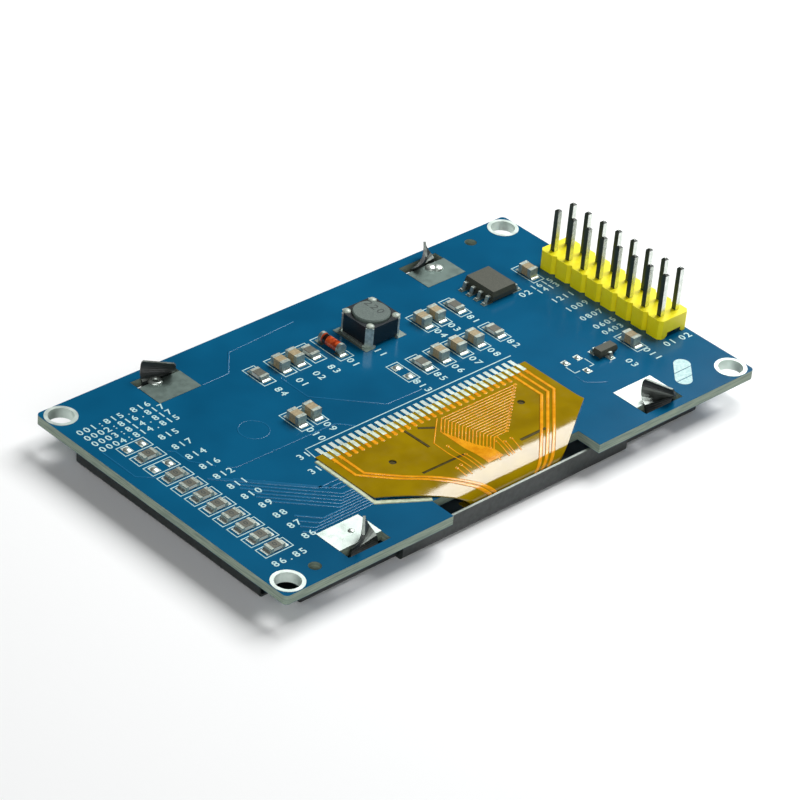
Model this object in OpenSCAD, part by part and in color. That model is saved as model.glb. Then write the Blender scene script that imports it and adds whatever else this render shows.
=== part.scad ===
// Small display module: a circuit board that carries a glass display panel in a folded steel bezel.
// It lies display side down. Z is up, the bezel's face is on Z = 0, and the board's centre is on the Z axis.
// Places on the board are measured from its front left corner.

/* [Circuit board] */
// Length of the board along X
board_l = 73.0; // [70:0.1:100]
// Width of the board along Y
board_w = 42.2; // [40:0.1:60]
// Thickness of the board
board_t = 1.2; // [0.8:0.1:2.4]
// Radius of the board's corners
board_corner_r = 0.6; // [0.2:0.1:1.5]
// Diameter of the four mounting holes
hole_d = 3.0; // [2:0.1:3.4]
// Distance from the centre of a mounting hole to the two edges beside it
hole_inset = 2.0; // [1.8:0.1:2.4]
// Width of the tinned ring round a mounting hole
ring_w = 0.45; // [0.2:0.05:0.6]
// Diameter of the two tooling holes
tooling_d = 1.5; // [0.8:0.1:2]
// Thickness of the tinned copper that stands on the board
pad_t = 0.05; // [0.03:0.01:0.1]
// Thickness of the plating inside a mounting hole
plating_t = 0.05; // [0.03:0.01:0.1]

/* [Notch and film] */
// Distance from the board's left edge to the middle of the notch and of the film
film_x = 35.7; // [30:0.1:40]
// Length of the notch along the board's front edge
notch_l = 22.8; // [18:0.1:28]
// Depth of the notch
notch_d = 3.4; // [3:0.1:5]
// Thickness of the film
film_t = 0.12; // [0.08:0.01:0.2]
// Width of the film where it is soldered to the board
film_wide = 32.6; // [32:0.1:36]
// Width of the film's neck, where it bends down to the glass
film_neck = 12.8; // [8:0.1:16]
// Distance from the board's front edge to the start of the film's taper
film_taper_y = 7.4; // [6:0.1:10]
// Distance from the board's front edge to the soldered end of the film
film_end_y = 17.1; // [16.5:0.1:20]
// Length of the film that is bonded to the glass
film_bond = 1.6; // [1:0.1:1.8]
// Radius of the slack arch that the film makes before it bends down
arch_r = 11.0; // [8:0.5:13]
// Angle at which the film rises from the board into the arch
arch_rise = 9; // [4:1:10]
// Angle at which the arch ends and the tight bend begins
arch_dip = 16; // [10:1:20]
// Diameter of the two small holes in the film
film_hole_d = 0.9; // [0.5:0.1:1.5]
// Number of contacts on the film
contact_n = 31; // [11:1:31]
// Distance between the contacts
contact_pitch = 1.0; // [0.6:0.05:1]
// Width of a contact
contact_w = 0.55; // [0.3:0.05:0.55]
// Length of a tinned contact on the film
contact_l = 1.35; // [1:0.05:3]
// Length of board contact that shows past the end of the film
contact_show = 1.3; // [0.5:0.1:1.5]

/* [Bezel] */
// Distance from the board's left edge to the bezel
bezel_left = 1.3; // [1:0.1:3]
// Distance from the board's right edge to the bezel
bezel_right = 6.7; // [6.2:0.1:8]
// Distance from the board's front edge to the bezel's front wall
bezel_front = 1.95; // [1.8:0.05:2.2]
// Distance from the board's back edge to the bezel's back wall
bezel_back = 2.15; // [1.8:0.05:2.4]
// Length of the part of the front wall that stands forward to make room for the film
bay_l = 35.0; // [26:0.5:36]
// Distance that this part stands forward
bay_d = 0.75; // [0.7:0.05:0.9]
// Length along X of the notch in each left corner of the bezel
corner_l = 3.0; // [2.8:0.1:3.8]
// Length along Y of the notch in each left corner of the bezel
corner_w = 3.6; // [3:0.1:6]
// Height of the bezel from its face to the board
bezel_h = 2.9; // [2.7:0.1:4]
// Thickness of the steel sheet
sheet_t = 0.3; // [0.2:0.05:0.4]
// Outside radius of the folds
fold_r = 0.6; // [0.45:0.05:0.9]
// Length of the gap left open at each right corner for folding
corner_relief = 0.7; // [0.5:0.1:1]
// Length of the window
window_l = 57.0; // [50:0.1:58]
// Width of the window
window_w = 29.5; // [25:0.1:30]
// Width of a tab
tab_w = 4.0; // [3:0.1:5]
// Height of a tab above the board
tab_h = 2.25; // [1:0.05:3]
// Distance that a tab leans inwards over its pad
tab_lean = 0.3; // [0:0.05:0.6]

/* [Display panel] */
// Length of the display glass
glass_l = 60.5; // [58:0.1:61]
// Thickness of each sheet of glass
glass_t = 0.7; // [0.4:0.05:0.8]
// Width of the ledge of glass that carries the driver chip and the film
ledge_w = 3.8; // [3.6:0.1:5]
// Thickness of the polarizer
polarizer_t = 0.2; // [0.1:0.02:0.3]
// Distance that the polarizer runs under the bezel's face
polarizer_lap = 0.7; // [0.3:0.1:1]
// Clearance between the glass and the bezel's front and back walls
glass_gap = 0.2; // [0.1:0.05:0.5]
// Clearance between the glass and the bezel's right wall
glass_end_gap = 0.05; // [0.05:0.05:0.5]
// Width of each strip of foam tape
tape_w = 8; // [4:0.5:15]

/* [Pin header] */
// Distance between the pins
pin_pitch = 2.54; // [2:0.01:2.54]
// Number of pins in each of the two rows
pin_rows = 8; // [4:1:8]
// Side of a square pin
pin_side = 0.64; // [0.5:0.02:0.7]
// Height of the pins above the insulator
pin_above = 5.75; // [3:0.05:9]
// Length of the pins below the board
pin_below = 1.6; // [1:0.1:2.4]
// Height of the insulator
insulator_h = 2.54; // [2:0.01:3]
// Width of the insulator across the two rows
insulator_w = 4.8; // [4.6:0.1:5.08]
// Depth of the grooves between the insulator's cells
insulator_groove = 0.42; // [0.2:0.02:0.5]
// Diameter of the pin holes in the board
pin_hole_d = 1.0; // [0.95:0.05:1.2]

/* [Small parts] */
// Length of a chip resistor or capacitor
chip_l = 2.0; // [1.6:0.1:2.2]
// Width of a chip resistor or capacitor
chip_w = 1.25; // [0.8:0.05:1.4]
// Height of a chip resistor
resistor_h = 0.5; // [0.35:0.05:0.7]
// Height of a chip capacitor
capacitor_h = 1.15; // [0.5:0.05:1.25]
// Length of a chip's metal end
chip_end_l = 0.4; // [0.2:0.05:0.6]
// Length of the diode
diode_l = 3.5; // [3:0.1:3.7]
// Diameter of the diode's glass
diode_d = 1.25; // [1.0:0.05:1.6]
// Side of the inductor's shield
shield_w = 5.3; // [5.2:0.1:5.8]
// Height of the inductor
inductor_h = 3.0; // [2:0.1:4]
// Diameter of the inductor's drum
drum_d = 4.5; // [3.8:0.05:4.6]

/* [Hidden] */
$fn = 48;
eps = 0.01;

// Heights: the stack from the bezel's face up to the board's top
polarizer_z = sheet_t;
glass_z = polarizer_z + polarizer_t;
cover_z = glass_z + glass_t;
tape_z = cover_z + glass_t;
board_top = bezel_h + board_t;
part_z = board_top + pad_t;

// Bezel, display panel and window
bezel_l = board_l - bezel_left - bezel_right;
bezel_w = board_w - bezel_front - bezel_back;
glass_w = bezel_w - 2 * (sheet_t + glass_gap);
glass_x = bezel_left + bezel_l - sheet_t - glass_end_gap - glass_l;
glass_y = bezel_front + sheet_t + glass_gap;
cover_w = glass_w - ledge_w;
window_x = glass_x + (glass_l - window_l) / 2;
window_y = glass_y + ledge_w + (cover_w - window_w) / 2;
bay_x = film_x - bay_l / 2;

// Film, along its middle layer: it leaves the board on an arc that opens upwards, turns over an arc of the
// same radius that opens downwards, and goes round a tight bend to the ledge
film_gap = 0.1;
film_top = part_z + film_t;
film_end_z = cover_z + film_t / 2;
arch_z = part_z + film_t / 2 + arch_r * (1 - 2 * cos(arch_rise));
bend_r = (arch_z + arch_r * cos(arch_dip) - film_end_z) / (1 + cos(arch_dip));
bend_y = bezel_front - bay_d + sheet_t + film_gap + film_t / 2 + bend_r;
bend_z = film_end_z + bend_r;
arch_y = bend_y + (arch_r - bend_r) * sin(arch_dip);
film_lift_y = arch_y + 2 * arch_r * sin(arch_rise);
bond_end = glass_y + film_bond;
contact_x = film_x - (contact_n - 1) / 2 * contact_pitch;

// Tab places: distance along X, side of the board (0 front, 1 back) and turn of the top
TABS = [[13.0, 0, 46], [58.9, 0, -74], [15.5, 1, -44], [57.1, 1, 50]];
slot_l = 6.1;
slot_w = 1.5;
slot_gap = 0.4;
tab_pad_d = 5.3;
tab_root_h = 0.3;
tab_levels = 12;
slot_turn = slot_gap / tab_w;
function slot_y(side) = side == 0 ? bezel_front + sheet_t + slot_gap - slot_w
                                  : board_w - bezel_back - sheet_t - slot_gap;
function tab_pad_y(side) = side == 0 ? slot_y(0) : slot_y(1) + slot_w - tab_pad_d;

// Chips: middle of each one, and 1 where it lies along X
chip_row_x = 4.75;
chip_row_y = 30.7;
chip_row_step = 2.34;
row_gaps = [0, 2];
RESISTORS = concat([for (i = [0 : 10]) if (len(search(i, row_gaps)) == 0)
                       [chip_row_x, chip_row_y - i * chip_row_step, 1]],
                   [[25.2, 33.2, 0], [33.05, 33.3, 0], [53.6, 30.5, 0], [42.0, 23.9, 0], [53.7, 23.9, 0]]);
CAPACITORS = [[28.4, 33.2, 0], [30.6, 33.2, 0], [22.55, 23.85, 0], [24.85, 23.85, 0], [48.1, 30.35, 0],
              [50.3, 30.35, 0], [44.8, 23.9, 0], [47.6, 23.9, 0], [50.4, 23.9, 0], [66.0, 30.8, 0],
              [65.3, 12.8, 0]];
EMPTY_CHIPS = concat([for (i = row_gaps) [chip_row_x, chip_row_y - i * chip_row_step, 1]], [[39.1, 24.0, 0]]);
chip_skin = 0.03;
chip_pad_l = 1.0;
chip_pad_gap = 1.1;
fillet_r = 0.38;

// Diode, inductor and the two moulded parts
diode_at = [35.85, 32.65];
diode_cap_l = 0.45;
diode_cap_d = diode_d + 0.1;
diode_bore = 0.6;
inductor_at = [41.65, 32.45];
shield_chamfer = 0.8;
shield_clear = 0.1;
drum_proud = 0.35;
drum_edge = 0.12;
terminal_lip = 0.25;
terminal_w = 0.9;
terminal_t = 0.3;
flange_t = 0.55;
hub_d = 1.9;
amplifier_at = [59.7, 30.85];
transistor_at = [60.95, 12.85];
spare_at = [56.75, 12.85];
spare_pad_at = [[-1, 1.25], [1, 1.25], [0, -1.35]];

// Header: two rows close to the board's right edge
header_x = board_l - insulator_w / 2;
header_y = board_w / 2;
pin_clear = 0.01;
recess_w = 2.2;
recess_h = 0.65;
recess_l = 0.8;
TOOLING = [[6.1, 2.3], [board_l - 7.6, board_w - 2.1]];
function hole_places() = [for (x = [hole_inset, board_l - hole_inset], y = [hole_inset, board_w - hole_inset])
                             [x, y]];
function pin_places() = [for (c = [-0.5, 0.5], r = [0 : pin_rows - 1])
                            [header_x + c * pin_pitch, header_y + (r - (pin_rows - 1) / 2) * pin_pitch]];

// Moves a thing that is placed from the board's front left corner into the model's frame
module on_board() {
    translate([-board_l / 2, -board_w / 2, 0])
        children();
}

// Stands a thing on the pads at a chip's place; the chip's length lies along X
module at_chip(spot) {
    translate([spot[0], spot[1], part_z])
        rotate(spot[2] == 1 ? 0 : 90)
            children();
}

// Flat plate with round corners, its corner on the origin
module round_plate(l, w, t, r) {
    linear_extrude(height = t)
        union() {
            translate([r, 0]) square([l - 2 * r, w]);
            translate([0, r]) square([l, w - 2 * r]);
            for (x = [r, l - r], y = [r, w - r])
                translate([x, y]) circle(r = r);
        }
}

// Box centred on X and Y that stands on Z = 0
module block(l, w, h) {
    translate([-l / 2, -w / 2, 0])
        cube([l, w, h]);
}

// Slot for a bezel tab, cut through anything from the board's underside upwards
module tab_slot(tab) {
    translate([tab[0] - slot_l / 2, slot_y(tab[1]), bezel_h - 1])
        cube([slot_l, slot_w, board_t + 2]);
}

module board() {
    color("#0f639a")
        on_board()
            difference() {
                translate([0, 0, bezel_h])
                    round_plate(board_l, board_w, board_t, board_corner_r);
                translate([film_x - notch_l / 2, -1, bezel_h - 1])
                    cube([notch_l, notch_d + 1, board_t + 2]);
                for (tab = TABS)
                    tab_slot(tab);
                for (p = hole_places())
                    translate([p[0], p[1], bezel_h - 1])
                        cylinder(d = hole_d + 2 * plating_t, h = board_t + 2);
                for (p = TOOLING)
                    translate([p[0], p[1], bezel_h - 1]) cylinder(d = tooling_d, h = board_t + 2);
                for (p = pin_places())
                    translate([p[0], p[1], bezel_h - 1]) cylinder(d = pin_hole_d, h = board_t + 2, $fn = 24);
            }
}

// Two pads of a chip, tinned copper on the board
module chip_pads() {
    for (side = [-1, 1])
        translate([side * (chip_pad_gap + chip_pad_l) / 2, 0, -pad_t])
            block(chip_pad_l, chip_w, pad_t);
}

// Low dome of solder on a pad that carries no part
module solder_dome(r, h) {
    sphere_r = (r * r + h * h) / (2 * h);
    intersection() {
        translate([0, 0, h - sphere_r]) sphere(r = sphere_r);
        cylinder(r = r + 1, h = h + 1);
    }
}

// Lining of a mounting hole with a ring on each face of the board
module plated_ring() {
    h = board_t + 2 * pad_t;
    difference() {
        union() {
            cylinder(d = hole_d + 2 * plating_t, h = h);
            for (z = [0, h - pad_t])
                translate([0, 0, z]) cylinder(d = hole_d + 2 * ring_w, h = pad_t);
        }
        translate([0, 0, -1]) cylinder(d = hole_d, h = h + 2);
    }
}

module tinned_pads() {
    color("#c9cfc4")
        on_board() {
            for (p = hole_places())
                translate([p[0], p[1], bezel_h - pad_t])
                    plated_ring();
            for (tab = TABS)
                difference() {
                    translate([tab[0] - slot_l / 2, tab_pad_y(tab[1]), board_top])
                        cube([slot_l, tab_pad_d, pad_t]);
                    tab_slot(tab);
                }
            for (spot = concat(RESISTORS, CAPACITORS, EMPTY_CHIPS))
                at_chip(spot) chip_pads();
            for (i = [0 : contact_n - 1])
                translate([contact_x + i * contact_pitch, film_end_y - contact_l, board_top])
                    translate([-contact_w / 2, 0, 0]) cube([contact_w, contact_l + contact_show, pad_t]);
            for (side = [-1, 1]) {
                translate([diode_at[0], diode_at[1] + side * (diode_l / 2 - 0.05), board_top])
                    block(diode_d, 1.3, pad_t);
                translate([inductor_at[0] + side * (shield_w / 2 - 0.2), inductor_at[1], board_top])
                    block(terminal_w + 0.6, shield_w + 0.5, pad_t);
            }
            gull_pads(amplifier_at, amplifier_leads_at(), 1.5, 0.65);
            gull_pads(transistor_at, transistor_leads_at(), 1.0, 0.8);
            for (p = spare_pad_at)
                translate([spare_at[0] + p[0], spare_at[1] + p[1], board_top]) block(0.8, 1.0, pad_t);
        }
}

// Pads under the feet of a moulded part's leads
module gull_pads(at, leads, l, w) {
    for (lead = leads)
        translate([at[0], at[1], board_top])
            rotate(lead[2])
                translate([lead[0] + lead[3] - l / 2 + 0.15, lead[1], 0]) block(l, w, pad_t);
}

// Concave fillet of solder from the end of a chip down to its pad
module end_fillet(w, h) {
    r = min(fillet_r, h);
    translate([0, w / 2, 0])
        rotate([90, 0, 0])
            linear_extrude(height = w)
                difference() {
                    square([r, r]);
                    translate([r, r]) circle(r = r, $fn = 32);
                }
}

module solder_joints() {
    color("#e4e8df")
        on_board() {
            for (spot = RESISTORS)
                at_chip(spot)
                    for (turn = [0, 180])
                        rotate(turn)
                            translate([chip_l / 2, 0, 0]) end_fillet(chip_w - 0.15, resistor_h - 0.1);
            for (spot = CAPACITORS)
                at_chip(spot)
                    for (turn = [0, 180])
                        rotate(turn) translate([chip_l / 2, 0, 0]) end_fillet(chip_w - 0.15, capacitor_h);
            for (side = [-1, 1])
                translate([diode_at[0], diode_at[1] + side * diode_l / 2, part_z])
                    rotate(side * 90) end_fillet(diode_d - 0.4, 0.5);
            for (spot = EMPTY_CHIPS)
                at_chip(spot)
                    for (side = [-1, 1])
                        translate([side * (chip_pad_gap + chip_pad_l) / 2, 0, 0]) solder_dome(0.48, 0.16);
            for (p = spare_pad_at)
                translate([spare_at[0] + p[0], spare_at[1] + p[1], part_z]) solder_dome(0.4, 0.18);
        }
}

// One wall of the bezel with its fold, seen from its end: the face lies along +X, the wall stands along +Y
module fold_profile() {
    difference() {
        circle(r = fold_r);
        circle(r = fold_r - sheet_t);
        translate([0, -2 * fold_r]) square([2 * fold_r, 4 * fold_r]);
        translate([-2 * fold_r, 0]) square([4 * fold_r, 2 * fold_r]);
    }
    translate([-fold_r, 0]) square([sheet_t, bezel_h - fold_r]);
}

// Wall of a given length that stands on the line Y = 0 and starts at X = 0
module folded_wall(l) {
    translate([0, fold_r, fold_r])
        rotate([90, 0, 90])
            linear_extrude(height = l)
                fold_profile();
}

function mix(a, b, t) = a + (b - a) * t;

// Blade of a tab from its root upwards: it leans in and turns on its way, and its top corners are cut
module tab_blade(turn) {
    h = board_t + tab_h - tab_root_h;
    slot_share = (board_t + 2 * pad_t - tab_root_h) / h;
    function half(t) = tab_w / 2 - 0.25 * max(0, t - 0.9) / 0.1;
    function past(t) = (1 - t) / (1 - slot_share);
    function turn_at(t) = t < slot_share ? turn * slot_turn * t / slot_share
                                         : turn * mix(1, slot_turn, past(t) * past(t));
    function lean_at(t) = tab_lean * t * t * (3 - 2 * t);
    function corner(t, a, b) = [a * cos(turn_at(t)) - b * sin(turn_at(t)),
                                a * sin(turn_at(t)) + b * cos(turn_at(t)) + lean_at(t), h * t];
    n = tab_levels;
    points = [for (i = [0 : n]) let (t = i / n, a = half(t), b = sheet_t / 2)
                 each [corner(t, -a, -b), corner(t, a, -b), corner(t, a, b), corner(t, -a, b)]];
    sides = [for (i = [0 : n - 1], k = [0 : 3]) let (p = 4 * i + k, q = 4 * i + (k + 1) % 4)
                each [[p, p + 4, q], [q, p + 4, q + 4]]];
    caps = [[0, 1, 2], [0, 2, 3], [4 * n, 4 * n + 2, 4 * n + 1], [4 * n, 4 * n + 3, 4 * n + 2]];
    polyhedron(points = points, faces = concat(sides, caps));
}

// A tab on the front wall: a straight root, then the blade
module tab(turn) {
    translate([-tab_w / 2, 0, bezel_h - 0.2])
        cube([tab_w, sheet_t, tab_root_h + 0.2]);
    translate([0, sheet_t / 2, bezel_h + tab_root_h])
        tab_blade(turn);
}

// End of the bay in the front wall: a web with the outline of the fold
module bay_web() {
    d = bay_d + sheet_t;
    rotate([90, 0, 90])
        linear_extrude(height = sheet_t)
            intersection() {
                square([d, bezel_h]);
                union() {
                    translate([fold_r, fold_r]) circle(r = fold_r);
                    translate([0, fold_r]) square([d, bezel_h]);
                    translate([fold_r, 0]) square([d, fold_r]);
                }
            }
}

// Walls of the bezel, from its front left corner
module bezel_walls() {
    bay = bay_x - bezel_left;
    end = bezel_l - corner_relief;
    translate([corner_l, 0, 0]) folded_wall(bay - corner_l);
    translate([bay, -bay_d, 0]) folded_wall(bay_l);
    translate([bay + bay_l, 0, 0]) folded_wall(end - bay - bay_l);
    for (x = [bay, bay + bay_l - sheet_t])
        translate([x, -bay_d, 0]) bay_web();
    translate([end, bezel_w, 0])
        rotate(180) folded_wall(end - corner_l);
    translate([0, bezel_w - corner_w, 0])
        rotate(-90) folded_wall(bezel_w - 2 * corner_w);
    translate([bezel_l, corner_relief, 0])
        rotate(90) folded_wall(bezel_w - 2 * corner_relief);
}

// Flat face of the bezel inside its folds, with a notch in each left corner
module bezel_face() {
    linear_extrude(height = sheet_t)
        difference() {
            union() {
                translate([corner_l, fold_r]) square([bezel_l - corner_l - fold_r, bezel_w - 2 * fold_r]);
                translate([fold_r, corner_w]) square([corner_l, bezel_w - 2 * corner_w]);
                translate([bay_x - bezel_left, fold_r - bay_d]) square([bay_l, bay_d + fold_r]);
            }
            translate([window_x - bezel_left, window_y - bezel_front]) square([window_l, window_w]);
        }
}

module bezel() {
    color("#33393a")
        on_board()
            translate([bezel_left, bezel_front, 0])
                union() {
                    bezel_face();
                    bezel_walls();
                    for (item = TABS)
                        translate([item[0] - bezel_left, item[1] * bezel_w, 0])
                            rotate(item[1] * 180) tab(item[2]);
                }
}

module polarizer() {
    color("#15171c")
        on_board()
            translate([window_x - polarizer_lap, window_y - polarizer_lap, polarizer_z])
                cube([window_l + 2 * polarizer_lap, window_w + 2 * polarizer_lap, polarizer_t]);
}

module display_glass() {
    color("#5c7480")
        on_board()
            translate([glass_x, glass_y, glass_z])
                cube([glass_l, glass_w, glass_t]);
}

module cover_glass() {
    color("#8b9ba2")
        on_board()
            translate([glass_x, glass_y + ledge_w, cover_z])
                cube([glass_l, cover_w, glass_t]);
}

module driver_chip() {
    chip_y = (bond_end + glass_y + ledge_w) / 2;
    color("#3a3f45")
        on_board()
            translate([film_x, chip_y, cover_z])
                block(11, 1.1, 0.3);
}

module foam_tape() {
    tape_inset = 2;
    color("#d8d8d0")
        on_board()
            for (x = [glass_x + tape_inset, glass_x + glass_l - tape_inset - tape_w])
                translate([x, glass_y + ledge_w + tape_inset, tape_z])
                    cube([tape_w, cover_w - 2 * tape_inset, bezel_h - tape_z]);
}

// Lengths of the film's arcs, and where it is foremost, measured along the flat film
rise_l = arch_r * arch_rise * PI / 180;
arch_l = arch_r * (2 * arch_rise + arch_dip) * PI / 180;
film_fore = film_lift_y - arch_l - bend_r * (90 - arch_dip) * PI / 180;
// Half of the film's width at a distance u from the board's front edge, measured along the flat film
function film_half(u) = u > film_taper_y ? film_wide / 2
    : mix(film_neck / 2, film_wide / 2, (u - film_fore) / (film_taper_y - film_fore));
// Where that distance lies once the film is bent
function film_y(u) =
    let (s = film_lift_y - u)
        s < 0 ? u
        : s < rise_l ? film_lift_y - arch_r * sin(s / arch_r * 180 / PI)
        : s < arch_l ? arch_y - arch_r * sin(s / arch_r * 180 / PI - 2 * arch_rise)
        : bend_y - bend_r * sin(arch_dip + (s - arch_l) / bend_r * 180 / PI);

// Outline of the film seen from above, down to the foremost point of the bend
module film_outline() {
    steps = 8;
    bend_u = film_lift_y - arch_l;
    us = concat([film_end_y, film_taper_y], [for (i = [1 : 3]) mix(film_taper_y, bend_u, i / 3)],
                [for (i = [1 : steps]) mix(bend_u, film_fore, i / steps)]);
    edge = [for (u = us) [film_half(u), film_y(u) - (u == film_fore ? film_t : 0)]];
    polygon(concat([for (p = edge) [film_x + p[0], p[1]]],
                   [for (i = [len(edge) - 1 : -1 : 0]) [film_x - edge[i][0], edge[i][1]]]));
}

// Part of the film's section that bends about a centre, from angle a to angle b
module film_arc(centre, r, a, b) {
    translate(centre)
        intersection() {
            difference() {
                circle(r = r + film_t / 2, $fn = 96);
                circle(r = r - film_t / 2, $fn = 96);
            }
            polygon(concat([[0, 0]],
                           [for (k = [0 : 3]) let (t = mix(a, b, k / 3)) 3 * r * [cos(t), sin(t)]]));
        }
}

// The film's section, extruded across the board; it lies on the board, arches, bends and ends on the glass
module film_strip(l) {
    translate([film_x - l / 2, 0, 0])
        rotate([90, 0, 90])
            linear_extrude(height = l)
                union() {
                    translate([film_lift_y, part_z]) square([film_end_y - film_lift_y, film_t]);
                    film_arc([film_lift_y, part_z + film_t / 2 + arch_r], arch_r, 270 - arch_rise, 270);
                    film_arc([arch_y, arch_z], arch_r, 90 - arch_rise, 90 + arch_dip);
                    film_arc([bend_y, bend_z], bend_r, 90 + arch_dip, 270);
                    translate([bend_y, cover_z]) square([bond_end - bend_y, film_t]);
                }
}

module flex_film() {
    color("#9a7400")
        on_board()
            difference() {
                union() {
                    intersection() {
                        film_strip(film_wide + 1);
                        translate([0, 0, bend_z])
                            linear_extrude(height = film_top + 1 - bend_z) film_outline();
                    }
                    intersection() {
                        film_strip(film_neck);
                        translate([film_x - film_neck / 2 - 1, 0, 0]) cube([film_neck + 2, board_w, bend_z]);
                    }
                }
                for (x = [-10, 10])
                    translate([film_x + x, 11.3, board_top - 0.5]) cylinder(d = film_hole_d, h = 2, $fn = 24);
            }
}

module film_contacts() {
    color("#dfe3da")
        on_board()
            for (i = [0 : contact_n - 1])
                translate([contact_x + i * contact_pitch - contact_w / 2, film_end_y - contact_l, film_top])
                    cube([contact_w, contact_l, pad_t]);
}

// One cell of the header's insulator, with its corners cut to leave a groove between cells
module insulator_cell() {
    w = insulator_w / 2;
    p = pin_pitch / 2;
    g = insulator_groove;
    polygon([[-w + g, -p], [w - g, -p], [w, -p + g], [w, p - g], [w - g, p], [-w + g, p], [-w, p - g],
             [-w, -p + g]]);
}

// Low arched recess under an end of the insulator
module end_recess() {
    r = recess_w * recess_w / (4 * recess_h) + recess_h / 4;
    translate([-recess_w / 2, 0, -1]) cube([recess_w, recess_l + 1, 1 + recess_h / 2]);
    translate([0, recess_l + 1, recess_h - r])
        rotate([90, 0, 0]) cylinder(r = r, h = recess_l + 1, $fn = 64);
}

module header_insulator() {
    l = pin_rows * pin_pitch;
    color("#e6dc22")
        on_board()
            difference() {
                translate([header_x, header_y, board_top])
                    linear_extrude(height = insulator_h)
                        union() {
                            for (r = [0 : pin_rows - 1])
                                translate([0, (r - (pin_rows - 1) / 2) * pin_pitch]) insulator_cell();
                        }
                for (turn = [0, 180])
                    translate([header_x, header_y, board_top])
                        rotate(turn) translate([0, l / 2 - recess_l, 0]) end_recess();
                for (p = pin_places())
                    translate([p[0], p[1], board_top - 1])
                        block(pin_side + 2 * pin_clear, pin_side + 2 * pin_clear, insulator_h + 2);
            }
}

module header_pins() {
    tip = 0.2;
    length = pin_below + board_t + insulator_h + pin_above;
    color("#d5dad4")
        on_board()
            for (p = pin_places())
                translate([p[0], p[1], bezel_h - pin_below])
                    intersection() {
                        block(pin_side, pin_side, length);
                        pointed_bar(length, tip);
                    }
}

// A square bar with cut ends, made of two crossed outlines that share their height
module pointed_bar(length, tip) {
    intersection_for(turn = [0, 90])
        rotate([90, 0, turn])
            translate([0, 0, -pin_side])
                linear_extrude(height = 2 * pin_side)
                    polygon([[-pin_side / 2 + tip, 0], [pin_side / 2 - tip, 0], [pin_side / 2, tip],
                             [pin_side / 2, length - tip], [pin_side / 2 - tip, length],
                             [-pin_side / 2 + tip, length], [-pin_side / 2, length - tip],
                             [-pin_side / 2, tip]]);
}

module header_solder() {
    cone_h = 0.8;
    color("#d9ddd5")
        on_board()
            for (p = pin_places())
                translate([p[0], p[1], bezel_h - cone_h])
                    difference() {
                        rotate_extrude($fn = 24)
                            polygon([[0, 0], [0.5, 0], [0.6, 0.4], [0.85, cone_h], [0, cone_h]]);
                        translate([0, 0, -1]) block(pin_side + 2 * pin_clear, pin_side + 2 * pin_clear, 3);
                    }
}

// Square with cut corners, centred
module cut_square(w, cut) {
    h = w / 2;
    polygon([[-h + cut, -h], [h - cut, -h], [h, -h + cut], [h, h - cut], [h - cut, h], [-h + cut, h],
             [-h, h - cut], [-h, -h + cut]]);
}

// Stands a thing on the inductor's place
module at_inductor(z) {
    translate([inductor_at[0], inductor_at[1], part_z + z])
        children();
}

module inductor_shield() {
    color("#1b2027")
        on_board()
            at_inductor(terminal_t)
                linear_extrude(height = inductor_h - terminal_t - drum_proud)
                    difference() {
                        cut_square(shield_w, shield_chamfer);
                        circle(d = drum_d + 2 * shield_clear, $fn = 64);
                    }
}

module inductor_drum() {
    color("#6f807a")
        on_board()
            at_inductor(terminal_t)
                rotate_extrude($fn = 64)
                    polygon([[0, 0], [drum_d / 2, 0], [drum_d / 2, flange_t], [hub_d / 2, flange_t],
                             [hub_d / 2, inductor_h - terminal_t - flange_t],
                             [drum_d / 2, inductor_h - terminal_t - flange_t],
                             [drum_d / 2, inductor_h - terminal_t - drum_edge],
                             [drum_d / 2 - drum_edge, inductor_h - terminal_t],
                             [0, inductor_h - terminal_t]]);
}

module inductor_winding() {
    color("#b4642c")
        on_board()
            at_inductor(terminal_t + flange_t)
                difference() {
                    cylinder(d = drum_d - 0.5, h = inductor_h - terminal_t - 2 * flange_t);
                    translate([0, 0, -1]) cylinder(d = hub_d, h = inductor_h);
                }
}

module inductor_terminals() {
    leg_h = inductor_h - drum_proud - 0.05;
    leg_w = 1.0;
    leg_t = 0.2;
    corner = shield_w / sqrt(2) - shield_chamfer / sqrt(2);
    color("#c4c9c2")
        on_board()
            at_inductor(0)
                for (turn = [0, 180])
                    rotate(turn) {
                        intersection() {
                            linear_extrude(height = terminal_t)
                                cut_square(shield_w + 2 * terminal_lip, shield_chamfer + terminal_lip);
                            translate([-shield_w, -shield_w, -1])
                                cube([shield_w / 2 + terminal_w, 2 * shield_w, 3]);
                        }
                        for (side = [135, 225])
                            rotate(side)
                                translate([corner, -leg_w / 2, 0]) cube([leg_t, leg_w, leg_h]);
                    }
}

module diode_glass() {
    color("#d8643a")
        on_board()
            translate([diode_at[0], diode_at[1], part_z + diode_cap_d / 2])
                rotate([90, 0, 0])
                    union() {
                        cylinder(d = diode_d, h = diode_l - 2 * diode_cap_l, center = true);
                        cylinder(d = diode_bore, h = diode_l - 0.2, center = true);
                    }
}

module diode_caps() {
    color("#b9bfba")
        on_board()
            translate([diode_at[0], diode_at[1], part_z + diode_cap_d / 2])
                for (turn = [90, -90])
                    rotate([turn, 0, 0])
                        translate([0, 0, diode_l / 2 - diode_cap_l])
                            difference() {
                                cylinder(d = diode_cap_d, h = diode_cap_l);
                                translate([0, 0, -1])
                                    cylinder(d = diode_bore, h = diode_cap_l + 1 - 0.1);
                            }
}

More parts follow.
